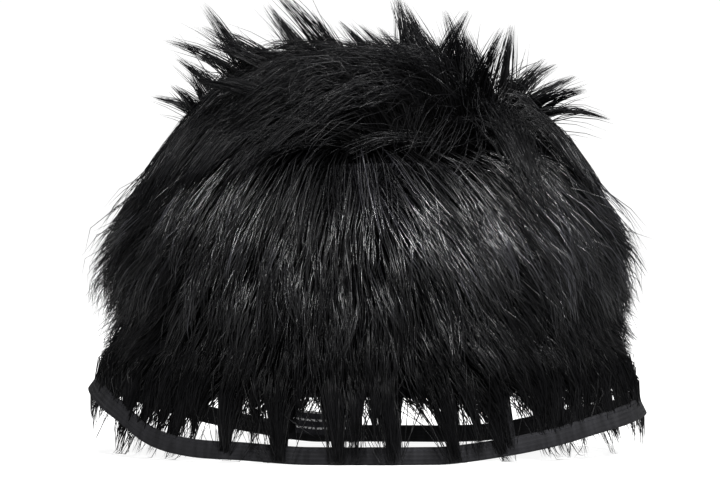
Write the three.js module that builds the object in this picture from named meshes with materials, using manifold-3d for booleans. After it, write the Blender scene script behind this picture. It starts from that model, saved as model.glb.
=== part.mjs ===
// A bucket hat of black long-pile fur cloth, standing on the tape that edges its brim.
// Millimetres, +Z up, -Y to the front. The origin is under the middle of the hat, on the floor.
// Each panel of fur cloth is a wall of backing cloth and, round it, its pile: a dense underlayer
// with locks fused to it. The panels' piles part along a surface that rises from each seam.
// The brim's cloth ends in narrow tongues, and the tape is sewn over them, so daylight shows between.
import * as THREE from "three";
import { mergeVertices } from "three/addons/utils/BufferGeometryUtils.js";
import Module from "manifold-3d";

const wasm = await Module();
wasm.setup();

// Cloth sizes
const headRadius = 92; // inside of the crown at the brim seam, for a 58 cm head
const crownTopRadius = 84; // outside of the crown at its upper seam
const crownHeight = 88; // from the brim seam to the upper seam
const domeRise = 15; // the top panel's middle above the upper seam
const seamHeight = 62; // the brim seam above the floor
const edgeHalfWidth = 145; // the brim's edge, left to right
const edgeHalfDepth = 112; // the brim's edge, front to back
const clothThickness = 2.5;
const seamGap = 0.3; // between neighbouring pieces

// Edge tape, the tongues that carry it, and the label
const tapeHeight = 9;
const tapeThickness = 1.6;
const tapeLapLength = 9; // the tape's ends overlap by this much at the front
const tapeLapThickness = 0.8;
const tapeLapAngle = 272; // where the overlap lies, in degrees from +X
const tongueCount = 24;
const tongueWidth = 5;
const windowHeight = 26; // open height between the tongues where the brim's edge is on the floor
const tongueEndHeight = 3; // the tongues stop this far above the tape's lower edge
const labelWidth = 34;
const labelHeight = 13;
const labelThickness = 0.8;
const labelAngle = 102; // at the back, a little left of the middle
const labelLift = 4.5; // the label's lower edge above the brim's edge
const labelGap = 0.7; // the label hangs this far inside the cloth

// Pile
const pileLength = 90;
const lockWidth = 40;
const lockThickness = 15;
const tuftWidth = 22;
const tuftThickness = 14;
const rootDepth = 4; // how deep a lock's root lies in the underlayer
const tapeClearance = 4; // the brim's locks fall this far outside the tape
const floorGap = 1.6; // the pile ends this far above the floor

// How the brim's edge lifts off the floor, as a share of seamHeight, by degrees round from +X
const edgeLifts = [
  { angle: 0, lift: 0.34 },
  { angle: 22, lift: 0.25 },
  { angle: 40, lift: 0.13 },
  { angle: 55, lift: 0.03 },
  { angle: 70, lift: 0 },
  { angle: 104, lift: 0 },
  { angle: 123, lift: 0.1 },
  { angle: 140, lift: 0.24 },
  { angle: 160, lift: 0.45 },
  { angle: 180, lift: 0.55 },
  { angle: 200, lift: 0.35 },
  { angle: 213, lift: 0.13 },
  { angle: 224, lift: 0.05 },
  { angle: 238, lift: 0.03 },
  { angle: 254, lift: 0 },
  { angle: 288, lift: 0 },
  { angle: 305, lift: 0.06 },
  { angle: 318, lift: 0.13 },
  { angle: 334, lift: 0.24 },
];

// The crown's side: height as a share of crownHeight, and how far in the wall leans,
// as a share of the whole difference between its lower and upper radius
const crownSections = [
  { height: 0, inward: 0 },
  { height: 0.6, inward: 0.2 },
  { height: 1, inward: 1 },
];

// The domed top: reach as a share of its radius, and rise as a share of domeRise
const domeSections = [
  { reach: 0, rise: 1 },
  { reach: 0.5, rise: 0.9 },
  { reach: 0.85, rise: 0.45 },
  { reach: 1, rise: 0 },
];

// The side's underlayer. height: above the brim seam, as a share of crownHeight.
// depth: how far its surface stands off the upright of the brim seam, as a share of pileLength.
const sidePile = [
  { height: 1.22, depth: 0.0 },
  { height: 1, depth: 0.14 },
  { height: 0.8, depth: 0.26 },
  { height: 0.55, depth: 0.36 },
  { height: 0.3, depth: 0.4 },
  { height: 0, depth: 0.38 },
];

// The top's underlayer. reach: share of crownTopRadius. rise: above the upper seam, of pileLength.
const topPile = [
  { reach: 0, rise: 0.6 },
  { reach: 0.5, rise: 0.6 },
  { reach: 0.84, rise: 0.54 },
  { reach: 1.06, rise: 0.41 },
  { reach: 1.2, rise: 0.27 },
  { reach: 1.22, rise: 0.12 },
];

// The brim's underlayer, from its parting (0) down to the windows (1). bulge: how far it swells
// past a straight fall, as a share of pileLength. lowerDepth: its stand-off at the windows.
const brimPile = [
  { along: 0, bulge: 0 },
  { along: 0.5, bulge: 0.06 },
  { along: 1, bulge: 0 },
];
const brimPileLowerDepth = 0.08;

// Where two piles part: out from the seam, and up from it, as shares of pileLength
const brimParting = [
  { out: 0, up: 0 },
  { out: 0.2, up: 0.14 },
  { out: 0.38, up: 0.18 },
  { out: 1, up: 0.18 },
];
const topParting = [
  { out: 0, up: 0 },
  { out: 0.12, up: 0.1 },
  { out: 0.3, up: 0.18 },
  { out: 0.9, up: 0.36 },
];

// Rows of locks. along: where the roots lie, from the underlayer's upper edge (0) to its lower (1).
// length: share of the way from the root to the edge that the row falls to. loft: degrees outside
// of that way. droop: how much each stretch of a lock turns to the floor. turn: how far round
// the row is shifted, as a share of the spacing.
const sideRows = [
  { along: 0.05, count: 17, turn: 0.5, length: 0.8, loft: 34, droop: 0.32, width: 1, thick: 1 },
  { along: 0.34, count: 17, turn: 0, length: 1.0, loft: 24, droop: 0.28, width: 1, thick: 1 },
  { along: 0.62, count: 17, turn: 0.5, length: 1.0, loft: 20, droop: 0.2, width: 1, thick: 0.8 },
];
const brimRows = [
  { along: 0.08, count: 24, turn: 0, length: 0.8, loft: 10, droop: 0.1, width: 0.68, thick: 0.8 },
  { along: 0.6, count: 24, turn: 0.5, length: 0.9, loft: 12, droop: 0.1, width: 0.5, thick: 0.7 },
];

// Tufts on the top panel. across and back: the root's place, as shares of crownTopRadius.
// toward: the way the tuft leans, in degrees from +X. lean: degrees from upright.
const topTufts = [
  { across: -1.0, back: 0.05, toward: 184, lean: 62, length: 0.53 },
  { across: -0.8, back: 0.34, toward: 170, lean: 46, length: 0.63 },
  { across: -0.66, back: -0.12, toward: 178, lean: 40, length: 0.71 },
  { across: -0.42, back: 0.24, toward: 168, lean: 42, length: 0.73 },
  { across: -0.16, back: -0.1, toward: 176, lean: 34, length: 0.56 },
  { across: 0.08, back: 0.26, toward: 184, lean: 30, length: 0.56 },
  { across: 0.34, back: -0.04, toward: 165, lean: 22, length: 0.51 },
  { across: 0.54, back: 0.26, toward: 176, lean: 14, length: 0.53 },
  { across: 0.74, back: -0.14, toward: 8, lean: 12, length: 0.47 },
  { across: 0.96, back: 0.1, toward: 4, lean: 50, length: 0.51 },
  { across: 1.04, back: -0.26, toward: 350, lean: 74, length: 0.5 },
  { across: -0.98, back: -0.44, toward: 200, lean: 80, length: 0.52 },
  { across: -0.64, back: -0.8, toward: 222, lean: 84, length: 0.54 },
  { across: -0.16, back: -1.0, toward: 240, lean: 86, length: 0.52 },
  { across: 0.34, back: -0.96, toward: 262, lean: 86, length: 0.52 },
  { across: 0.76, back: -0.7, toward: 310, lean: 84, length: 0.52 },
  { across: -0.42, back: -0.5, toward: 198, lean: 62, length: 0.6 },
  { across: 0.04, back: -0.52, toward: 206, lean: 64, length: 0.6 },
  { across: 0.46, back: -0.46, toward: 192, lean: 58, length: 0.58 },
  { across: -0.88, back: 0.62, toward: 146, lean: 80, length: 0.54 },
  { across: -0.36, back: 0.94, toward: 114, lean: 84, length: 0.52 },
  { across: 0.22, back: 0.98, toward: 78, lean: 85, length: 0.52 },
  { across: 0.74, back: 0.68, toward: 44, lean: 83, length: 0.52 },
  { across: -0.16, back: 0.6, toward: 140, lean: 60, length: 0.56 },
  { across: 0.4, back: 0.58, toward: 110, lean: 58, length: 0.56 },
];

// A lock's section is a flat triangle with its ridge outwards. It swells from its root, then narrows.
const lockSection = [
  { side: -0.5, out: -0.15 },
  { side: 0.5, out: -0.15 },
  { side: 0, out: 0.5 },
];
const lockTaper = [0.5, 1, 0.66];

// How far locks differ from each other: in degrees, or as a share of their size
const lockVariation = { turn: 5, lean: 4, length: 0.1, width: 0.12 };

// How much each stretch of a tuft turns to the floor: upright, and what a full lean adds
const tuftDroop = { upright: 0.12, leaning: 0.16 };

// Facets round each piece, which set how finely the curves are drawn
const crownFacets = 36;
const brimFacets = 48;
const pileFacets = 24;
const curveSamples = 24;

const brimKneeShare = 0.25; // where the brim's profile turns, as a share of its way in from the edge
const windowTopShare = 0.6; // a window's width at its top, as a share of its width at the tape

const radians = (degrees) => (degrees * Math.PI) / 180;
const mix = (a, b, share) => a + (b - a) * share;
const seamRadius = headRadius + clothThickness / 2; // the wall's middle at the brim seam
const topSeamHeight = seamHeight + crownHeight;
const brimSeamRadius = headRadius + clothThickness;
const brimSeam = new THREE.Vector2(brimSeamRadius, seamHeight);
const topSeam = new THREE.Vector2(crownTopRadius, topSeamHeight);
const farReach = 4 * edgeHalfWidth; // past the hat on every side, for cutting

const point2 = (radius, height) => new THREE.Vector2(radius, height);
const joined = (solids) => solids.reduce((whole, solid) => whole.add(solid));

// A repeatable number from -1 to 1 for each lock and use
function wobble(index, use) {
  const mixed = Math.sin(index * 12.9898 + use * 78.233) * 43758.5453;
  return 2 * (mixed - Math.floor(mixed)) - 1;
}

// Height of the brim's edge above the floor, by a smooth curve through the table
function edgeHeight(angle) {
  const turn = ((angle % 360) + 360) % 360;
  const count = edgeLifts.length;
  let next = edgeLifts.findIndex((row) => row.angle > turn);
  if (next < 0) next = 0;
  const at = (index) => edgeLifts[((index % count) + count) % count];
  const start = at(next - 1);
  const end = at(next);
  const gap = (from, to) => (((to.angle - from.angle) % 360) + 360) % 360;
  const span = gap(start, end);
  const startSlope = ((end.lift - at(next - 2).lift) / gap(at(next - 2), end)) * span;
  const endSlope = ((at(next + 1).lift - start.lift) / gap(start, at(next + 1))) * span;
  const share = (((turn - start.angle) % 360) + 360) % 360 / span;
  const squared = share * share;
  const cubed = squared * share;
  const lift =
    (2 * cubed - 3 * squared + 1) * start.lift +
    (cubed - 2 * squared + share) * startSlope +
    (3 * squared - 2 * cubed) * end.lift +
    (cubed - squared) * endSlope;
  return seamHeight * Math.max(0, lift);
}

// The brim's profile at an angle, from the edge up to the seam, as points of radius and height
// with their distance from the edge. It leaves the seam nearly level and hangs steeply at the edge.
const brimCurves = new Map();
function brimCurve(angle) {
  if (brimCurves.has(angle)) return brimCurves.get(angle);
  const turn = radians(angle);
  const edgeRadius = 1 / Math.hypot(Math.cos(turn) / edgeHalfWidth, Math.sin(turn) / edgeHalfDepth);
  const edge = new THREE.Vector2(edgeRadius, edgeHeight(angle));
  const seam = new THREE.Vector2(seamRadius, seamHeight);
  const knee = new THREE.Vector2(mix(edge.x, seam.x, brimKneeShare), mix(seam.y, edge.y, brimKneeShare));
  const curve = new THREE.QuadraticBezierCurve(edge, knee, seam);
  const points = curve.getPoints(curveSamples);
  let walked = 0;
  const rows = points.map((point, index) => {
    if (index) walked += point.distanceTo(points[index - 1]);
    return { radius: point.x, height: point.y, walked };
  });
  brimCurves.set(angle, rows);
  return rows;
}

const brimWidth = (angle) => brimCurve(angle)[curveSamples].walked;

// A point of the brim: distance from the edge along the cloth, and offset outwards from its middle.
// The cloth lies flat behind the tape.
function brimPoint(angle, distance, offset) {
  if (distance && distance < tapeHeight) {
    return brimPoint(angle, 0, offset).lerp(brimPoint(angle, tapeHeight, offset), distance / tapeHeight);
  }
  const rows = brimCurve(angle);
  let upper = rows.findIndex((row, index) => index && row.walked >= distance);
  if (upper < 0) upper = curveSamples;
  const a = rows[upper - 1];
  const b = rows[upper];
  const share = (distance - a.walked) / (b.walked - a.walked);
  const slope = new THREE.Vector2(a.radius - b.radius, a.height - b.height).normalize();
  const radius = mix(a.radius, b.radius, share) - slope.y * offset;
  const height = mix(a.height, b.height, share) + slope.x * offset;
  const turn = radians(angle);
  return new THREE.Vector3(radius * Math.cos(turn), radius * Math.sin(turn), height);
}

// A closed mesh as a solid that can be joined and cut, with its faces pointing out
function toSolid(geometry) {
  const bare = new THREE.BufferGeometry();
  bare.setAttribute("position", geometry.getAttribute("position"));
  if (geometry.index) bare.setIndex(geometry.index);
  const merged = mergeVertices(bare, 1e-4);
  const faces = [];
  const index = merged.index.array;
  for (let at = 0; at < index.length; at += 3) {
    const [a, b, c] = [index[at], index[at + 1], index[at + 2]];
    if (a !== b && b !== c && c !== a) faces.push([a, b, c]);
  }
  const solidOf = (triangles) =>
    new wasm.Manifold(
      new wasm.Mesh({
        numProp: 3,
        vertProperties: merged.getAttribute("position").array,
        triVerts: new Uint32Array(triangles.flat()),
      }),
    );
  const solid = solidOf(faces);
  return solid.volume() < 0 ? solidOf(faces.map(([a, b, c]) => [a, c, b])) : solid;
}

// A closed skin over rings of points, all with as many points. looped joins the last ring to the
// first; otherwise the first ring gets a flat cap and the last ring a cap or, with a tip, a point.
function skin(rings, { looped = false, tip = null } = {}) {
  const sides = rings[0].length;
  const places = rings.flat().flatMap((point) => [point.x, point.y, point.z]);
  const faces = [];
  const bands = looped ? rings.length : rings.length - 1;
  for (let ring = 0; ring < bands; ring++) {
    const here = ring * sides;
    const there = ((ring + 1) % rings.length) * sides;
    for (let side = 0; side < sides; side++) {
      const after = (side + 1) % sides;
      faces.push(here + side, here + after, there + after);
      faces.push(here + side, there + after, there + side);
    }
  }
  if (!looped) {
    for (let side = 1; side < sides - 1; side++) faces.push(0, side + 1, side);
    const last = (rings.length - 1) * sides;
    if (tip) {
      places.push(tip.x, tip.y, tip.z);
      const point = rings.length * sides;
      for (let side = 0; side < sides; side++) faces.push(last + side, last + ((side + 1) % sides), point);
    } else {
      for (let side = 1; side < sides - 1; side++) faces.push(last, last + side, last + side + 1);
    }
  }
  const geometry = new THREE.BufferGeometry();
  geometry.setAttribute("position", new THREE.Float32BufferAttribute(places, 3));
  geometry.setIndex(faces);
  return toSolid(geometry);
}

// A ring about the vertical axis whose section at each angle is given by a function
function ringSolid(facets, sectionAt) {
  const rings = [];
  for (let facet = 0; facet < facets; facet++) rings.push(sectionAt((facet * 360) / facets));
  return skin(rings, { looped: true });
}

// A round solid from its profile of radius and height
function turnedSolid(profile, facets = crownFacets) {
  const lathe = new THREE.LatheGeometry(profile, facets);
  lathe.rotateX(Math.PI / 2);
  return toSolid(lathe);
}

// The largest of a solid's separate bodies: cutting can leave a crumb of a lock behind
function mainBody(solid) {
  return solid.decompose().reduce((best, body) => (body.volume() > best.volume() ? body : best));
}

// A column of a table at a value of its key column, in proportion between the rows beside it
function between(table, key, value, column) {
  const rising = table[1][key] > table[0][key];
  const found = table.findIndex((row, index) => index && (rising ? row[key] >= value : row[key] <= value));
  const upper = found < 0 ? table.length - 1 : found;
  const [a, b] = [table[upper - 1], table[upper]];
  const share = Math.min(1, Math.max(0, (value - a[key]) / (b[key] - a[key])));
  return mix(a[column], b[column], share);
}

// A point at an angle round the axis
function around(angle, radius, height) {
  return new THREE.Vector3(radius * Math.cos(radians(angle)), radius * Math.sin(radians(angle)), height);
}

// One lock: it leaves its root in the vertical plane of toward, lean degrees down from level,
// and each stretch turns it further to the floor. Its section is flat, with the ridge outwards.
function lockSolid({ root, toward, lean, length, droop, width, thickness }) {
  const across = around(toward + 90, 1, 0);
  const heading = around(toward, Math.cos(radians(lean)), -Math.sin(radians(lean)));
  const middle = root.clone();
  const rings = lockTaper.map((share) => {
    const out = new THREE.Vector3().crossVectors(heading, across);
    const ring = lockSection.map((corner) =>
      middle
        .clone()
        .addScaledVector(across, corner.side * width * share)
        .addScaledVector(out, corner.out * thickness * share),
    );
    middle.addScaledVector(heading, length / lockTaper.length);
    heading.z -= droop;
    heading.normalize();
    return ring;
  });
  return skin(rings, { tip: middle });
}

// Rows of locks round the hat. surfaceAt gives a point of the underlayer's surface at an angle and
// a share along it, and edgeAt the edge that the locks fall to.
function lockRing(rows, surfaceAt, edgeAt) {
  return rows.flatMap((row, rowIndex) =>
    Array.from({ length: row.count }, (_, index) => {
      const seed = rowIndex * 100 + index;
      const angle = ((index + row.turn) * 360) / row.count;
      const surface = surfaceAt(angle, row.along);
      const way = edgeAt(angle).sub(surface);
      const outward = way.dot(around(angle, 1, 0));
      const fall = THREE.MathUtils.radToDeg(Math.atan2(-way.z, outward));
      return lockSolid({
        root: surface.sub(around(angle, rootDepth, 0)),
        toward: angle + lockVariation.turn * wobble(seed, 2),
        lean: fall - row.loft + lockVariation.lean * wobble(seed, 1),
        length: way.length() * row.length * (1 + lockVariation.length * wobble(seed, 3)),
        droop: row.droop,
        width: lockWidth * row.width * (1 + lockVariation.width * wobble(seed, 4)),
        thickness: lockThickness * row.thick,
      });
    }),
  );
}

// The surface where two piles part, as a profile that starts at a seam
function partingRim(parting, seam) {
  return parting.map((row) => point2(seam.x + pileLength * row.out, seam.y + pileLength * row.up));
}

// The last bend of the brim's parting, where the brim's pile comes out from under the side's
const brimPileLip = partingRim(brimParting, brimSeam)[brimParting.length - 2];

// Everything above or below that surface, raised by a gap
function pastParting(parting, seam, above, gap) {
  const rim = partingRim(parting, seam).map((point) => point2(point.x, point.y + gap));
  const far = above ? farReach : -farReach;
  const last = rim[rim.length - 1];
  return turnedSolid([
    point2(0, rim[0].y),
    ...rim,
    point2(farReach, last.y),
    point2(farReach, far),
    point2(0, far),
    point2(0, rim[0].y),
  ]);
}

// Everything below the pile's lowest level
function underPile() {
  const slab = new THREE.BoxGeometry(farReach, farReach, farReach);
  slab.translate(0, 0, floorGap - farReach / 2);
  return toSolid(slab);
}

// The crown's side wall: its level at a share of its height, and its outer profile
const crownLevel = (share) => mix(seamHeight + seamGap, topSeamHeight, share);
const crownOuter = (grow) =>
  crownSections.map((row) => {
    const radius = mix(brimSeamRadius, crownTopRadius, row.inward);
    return point2(radius + grow, crownLevel(row.height));
  });

// The crown's side: a round wall of backing cloth
function crownSide() {
  const outer = crownOuter(0);
  const inner = crownOuter(-clothThickness).reverse();
  return turnedSolid([...outer, ...inner, outer[0]]);
}

// The dome of the top panel at an offset above its inside
const domeBase = topSeamHeight + seamGap;
const domeProfile = (offset) =>
  domeSections.map((row) => point2(crownTopRadius * row.reach, domeBase + domeRise * row.rise + offset));

// The crown's top: a domed disc of backing cloth
function crownTop() {
  return turnedSolid([...domeProfile(clothThickness), ...domeProfile(0).reverse()]);
}

// The room that the crown and the top of the brim take up, with a gap all round
function crownRoom() {
  const outer = crownOuter(seamGap);
  const low = outer[0].y - 2 * seamGap;
  return turnedSolid([point2(0, low), point2(outer[0].x, low), ...outer, point2(0, topSeamHeight)]);
}

// The side's pile, cut clear of the wall and of the piles above and below it
function crownSidePile() {
  const surface = (height) =>
    point2(brimSeamRadius + pileLength * between(sidePile, "height", height, "depth"), crownLevel(height));
  const outer = sidePile.map((row) => surface(row.height));
  const inside = crownTopRadius - clothThickness;
  const profile = [...outer, point2(inside, seamHeight), point2(inside, outer[0].y), outer[0]];
  const mat = turnedSolid(profile, pileFacets);
  const surfaceAt = (angle, along) => {
    const place = surface(mix(sidePile[0].height, 0, along));
    return around(angle, place.x, place.y);
  };
  const lipAt = (angle) => around(angle, brimPileLip.x, brimPileLip.y);
  return joined([mat, ...lockRing(sideRows, surfaceAt, lipAt)])
    .subtract(crownRoom())
    .subtract(pastParting(brimParting, brimSeam, false, seamGap))
    .subtract(pastParting(topParting, topSeam, true, 0));
}

// The top's pile: a thick cap with its tufts
function crownTopPile() {
  const capLevel = (rise) => topSeamHeight + pileLength * rise;
  const profile = [
    ...topPile.map((row) => point2(crownTopRadius * row.reach, capLevel(row.rise))),
    point2(crownTopRadius, topSeamHeight),
    point2(0, topSeamHeight),
  ];
  const cap = turnedSolid(profile, pileFacets);
  const tufts = topTufts.map((tuft, index) => {
    const reach = Math.hypot(tuft.across, tuft.back);
    const level = capLevel(between(topPile, "reach", reach, "rise")) - rootDepth;
    return lockSolid({
      root: new THREE.Vector3(crownTopRadius * tuft.across, crownTopRadius * tuft.back, level),
      toward: tuft.toward,
      lean: tuft.lean - 90,
      length: pileLength * tuft.length,
      droop: tuftDroop.upright + tuftDroop.leaning * Math.sin(radians(tuft.lean)),
      width: tuftWidth * (1 + lockVariation.width * wobble(index, 5)),
      thickness: tuftThickness,
    });
  });
  const dome = domeProfile(clothThickness + seamGap);
  const domeRoom = turnedSolid([...dome, point2(crownTopRadius + seamGap, domeBase), point2(0, domeBase)]);
  return joined([cap, ...tufts])
    .subtract(domeRoom)
    .subtract(pastParting(topParting, topSeam, false, seamGap));
}

// The brim's section at an angle between two offsets from its middle, level at the seam
function brimSection(angle, near, far) {
  const width = brimWidth(angle);
  const distances = [tongueEndHeight, tapeHeight, mix(tapeHeight, width, 0.5), width];
  const side = (offset) => distances.map((distance) => brimPoint(angle, distance, offset));
  const section = [...side(far), ...side(near).reverse()];
  section[distances.length - 1].z = seamHeight;
  section[distances.length].z = seamHeight;
  return section;
}

// The upper end of the windows, as a distance from the edge: they shrink where the edge lifts
const windowTop = (angle) => tapeHeight + windowHeight * (1 - edgeHeight(angle) / seamHeight);

// The brim: a wall of backing cloth with open windows between its tongues
function brim() {
  const half = clothThickness / 2;
  const wall = ringSolid(brimFacets, (angle) => brimSection(angle, -half, half));
  const pitch = 360 / tongueCount;
  const windows = Array.from({ length: tongueCount }, (_, index) => {
    const middle = index * pitch;
    const edgeRadius = brimPoint(middle, tapeHeight, 0).setZ(0).length();
    const halfOpen = pitch / 2 - THREE.MathUtils.radToDeg(tongueWidth / 2 / edgeRadius);
    const halfTop = halfOpen * windowTopShare;
    const top = windowTop(middle);
    const opening = [
      { turn: -halfOpen, distance: -tapeHeight },
      { turn: halfOpen, distance: -tapeHeight },
      { turn: halfTop, distance: top },
      { turn: -halfTop, distance: top },
    ];
    const cutDepth = 6 * clothThickness;
    const rings = [-cutDepth, cutDepth].map((offset) =>
      opening.map((corner) => brimPoint(middle + corner.turn, corner.distance, offset)),
    );
    return skin(rings);
  });
  return windows.reduce((left, window) => left.subtract(window), wall);
}

// The brim's pile: a mat down to the windows, and locks that fall over the tape
function brimPilePanel() {
  const near = clothThickness / 2 + seamGap;
  const surfaceAt = (angle, along) => {
    const lower = brimPoint(angle, windowTop(angle), near + pileLength * brimPileLowerDepth);
    const upper = around(angle, brimPileLip.x, brimPileLip.y);
    const bulge = pileLength * between(brimPile, "along", along, "bulge");
    return upper.lerp(lower, along).add(around(angle, bulge, 0));
  };
  const mat = ringSolid(pileFacets, (angle) => [
    ...brimPile.map((row) => surfaceAt(angle, row.along)),
    brimPoint(angle, windowTop(angle), 0),
    brimPoint(angle, mix(windowTop(angle), brimWidth(angle), 0.5), 0),
    around(angle, seamRadius, seamHeight),
  ]);
  const core = ringSolid(brimFacets, (angle) => {
    const section = brimSection(angle, 0, near);
    return [
      brimPoint(angle, -tapeHeight, near),
      ...section.slice(0, section.length / 2),
      around(angle, headRadius / 2, seamHeight),
      around(angle, headRadius / 2, -tapeHeight),
    ];
  });
  const edgeAt = (angle) => brimPoint(angle, 0, near + tapeThickness + tapeClearance);
  return joined([mat, ...lockRing(brimRows, surfaceAt, edgeAt)])
    .subtract(core)
    .subtract(crownRoom())
    .subtract(edgeTape(seamGap))
    .subtract(pastParting(brimParting, brimSeam, true, 0))
    .subtract(underPile());
}

// The edge tape, level along its lower edge, and lapped over itself at the front
function edgeTape(grow) {
  const inside = clothThickness / 2 + seamGap - grow;
  const outside = inside + tapeThickness + 2 * grow;
  const section = (angle, inner, outer) => {
    const level = edgeHeight(angle) - grow;
    const lower = [inner, outer].map((offset) => {
      const [low, high] = [0, tapeHeight].map((distance) => brimPoint(angle, distance, offset));
      return low.lerp(high, (level - low.z) / (high.z - low.z));
    });
    const upper = [outer, inner].map((offset) => brimPoint(angle, tapeHeight + grow, offset));
    return [...lower, ...upper];
  };
  const ring = ringSolid(brimFacets, (angle) => section(angle, inside, outside));
  const halfLap = THREE.MathUtils.radToDeg((tapeLapLength / 2 + grow) / edgeHalfDepth);
  const lap = [-halfLap, halfLap].map((turn) =>
    section(tapeLapAngle + turn, (inside + outside) / 2, outside + tapeLapThickness),
  );
  return ring.add(skin(lap));
}

// The woven label, sewn inside the tongues at the back
function backLabel() {
  const outside = -clothThickness / 2 - labelGap;
  const halfTurn = THREE.MathUtils.radToDeg(labelWidth / 2 / edgeHalfDepth);
  const rings = [-1, -0.5, 0, 0.5, 1].map((share) => {
    const angle = labelAngle + share * halfTurn;
    return [
      brimPoint(angle, labelLift, outside),
      brimPoint(angle, labelLift + labelHeight, outside),
      brimPoint(angle, labelLift + labelHeight, outside - labelThickness),
      brimPoint(angle, labelLift, outside - labelThickness),
    ];
  });
  return skin(rings);
}

// Materials, as the photograph shows them
const clothMaterial = new THREE.MeshStandardMaterial({ color: 0x101012, roughness: 0.9, metalness: 0 });
const pileMaterial = new THREE.MeshStandardMaterial({ color: 0x141416, roughness: 0.55, metalness: 0 });
const tapeMaterial = new THREE.MeshStandardMaterial({ color: 0x1e1e22, roughness: 0.8, metalness: 0 });
const labelMaterial = new THREE.MeshStandardMaterial({ color: 0x18181a, roughness: 0.7, metalness: 0 });

// A named mesh from a solid
function meshOf(name, solid, material) {
  const found = mainBody(solid).getMesh();
  const geometry = new THREE.BufferGeometry();
  geometry.setAttribute("position", new THREE.BufferAttribute(found.vertProperties.slice(), 3));
  geometry.setIndex(new THREE.BufferAttribute(found.triVerts.slice(), 1));
  geometry.computeVertexNormals();
  const mesh = new THREE.Mesh(geometry, material);
  mesh.name = name;
  return mesh;
}

const hat = new THREE.Group();
hat.add(
  meshOf("crown_top", crownTop(), clothMaterial),
  meshOf("crown_side", crownSide(), clothMaterial),
  meshOf("brim", brim(), clothMaterial),
  meshOf("crown_top_pile", crownTopPile(), pileMaterial),
  meshOf("crown_side_pile", crownSidePile(), pileMaterial),
  meshOf("brim_pile", brimPilePanel(), pileMaterial),
  meshOf("edge_tape", edgeTape(0), tapeMaterial),
  meshOf("back_label", backLabel(), labelMaterial),
);

export default hat;
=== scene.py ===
# %% [markdown]
# # A fur bucket hat in Blender
# The hat is sewn from three panels of long-pile fur cloth: a round top, an upright side and a
# sloping brim. A woven tape edges the brim, and the hat stands on it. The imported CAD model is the
# fixed frame, with its cloth walls, its tape and a plain solid for each panel's pile. Here each
# panel grows real strands, and the cloth, the tape and the label get their fine surface.

# %% Load the frame
import math

import bpy
import numpy as np
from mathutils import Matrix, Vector


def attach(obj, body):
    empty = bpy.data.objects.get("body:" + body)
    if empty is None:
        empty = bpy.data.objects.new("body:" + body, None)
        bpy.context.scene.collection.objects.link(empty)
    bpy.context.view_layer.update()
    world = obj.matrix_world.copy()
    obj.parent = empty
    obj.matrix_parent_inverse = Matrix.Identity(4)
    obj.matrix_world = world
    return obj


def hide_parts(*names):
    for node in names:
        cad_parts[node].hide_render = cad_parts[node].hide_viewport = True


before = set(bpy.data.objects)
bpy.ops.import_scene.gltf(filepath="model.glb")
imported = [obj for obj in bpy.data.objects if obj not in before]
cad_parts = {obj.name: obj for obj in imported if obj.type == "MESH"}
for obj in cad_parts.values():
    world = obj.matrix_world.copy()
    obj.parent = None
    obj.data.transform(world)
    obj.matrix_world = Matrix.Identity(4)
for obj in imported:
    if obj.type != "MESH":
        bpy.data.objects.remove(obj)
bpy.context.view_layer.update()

# %% [markdown]
# Sizes are in millimetres, as on a maker's pattern, and a mesh is turned to metres when it is made.
# They are the sizes of the cloth walls in the frame, so that each strand is rooted in its cloth.

# %% The hat's sizes
SEAM_HEIGHT = 62.0  # the brim seam above the floor
TOP_SEAM_HEIGHT = 150.0
CROWN_RADIUS = 94.5  # outside of the cloth at the brim seam
CROWN_TOP_RADIUS = 84.0
SIDE_SHARES = (0, 0.6, 1)
SIDE_INWARD = (0, 0.2, 1)
DOME_REACH = (0, 0.5, 0.85, 1)
DOME_RISE = (15, 13.5, 6.75, 0)
DOME_BASE = 152.8
EDGE_HALF_WIDTH = 145.0
EDGE_HALF_DEPTH = 112.0
SEAM_MIDDLE_RADIUS = 93.25
KNEE_SHARE = 0.25
CLOTH = 2.5
TAPE_HEIGHT = 9.0
TAPE_THICKNESS = 1.6
PILE = 90.0
FLOOR_GAP = 1.2
TONGUES = 24  # narrow strips of the brim's cloth that carry the tape
WINDOW_HEIGHT = 26.0  # open height between the tongues where the edge is on the floor

EDGE_LIFT_ANGLES = (0, 22, 40, 55, 70, 104, 123, 140, 160, 180, 200, 213, 224, 238, 254, 288, 305, 318, 334)
EDGE_LIFT_SHARES = (
    0.34, 0.25, 0.13, 0.03, 0, 0, 0.1, 0.24, 0.45, 0.55, 0.35, 0.13, 0.05, 0.03, 0, 0, 0.06, 0.13, 0.24,
)
DOWN = np.array((0.0, 0.0, -1.0))
METRES = 0.001  # in a millimetre


# %% [markdown]
# The brim is the one panel that isn't round: seen from above its edge is an oval, and the edge
# lifts off the floor at both sides. Its profile leaves the seam nearly level and falls steeply at
# the edge. The same smooth curve as in the frame gives any point of it.

# %% The brim's form
def edge_height(turn):
    """Height of the brim's edge at angles in degrees."""
    angles = np.array(EDGE_LIFT_ANGLES, float)
    lifts = np.array(EDGE_LIFT_SHARES, float)
    turn = np.asarray(turn, float) % 360
    count = len(angles)
    after = np.searchsorted(angles, turn, side="right") % count
    at = lambda index: index % count
    gap = lambda a, b: (angles[at(b)] - angles[at(a)]) % 360
    before = at(after - 1)
    span = gap(before, after)
    slope_a = (lifts[after] - lifts[at(before - 1)]) / gap(before - 1, after) * span
    slope_b = (lifts[at(after + 1)] - lifts[before]) / gap(before, after + 1) * span
    t = ((turn - angles[before]) % 360) / span
    lift = (
        (2 * t**3 - 3 * t**2 + 1) * lifts[before]
        + (t**3 - 2 * t**2 + t) * slope_a
        + (3 * t**2 - 2 * t**3) * lifts[after]
        + (t**3 - t**2) * slope_b
    )
    return SEAM_HEIGHT * np.maximum(0, lift)


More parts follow.
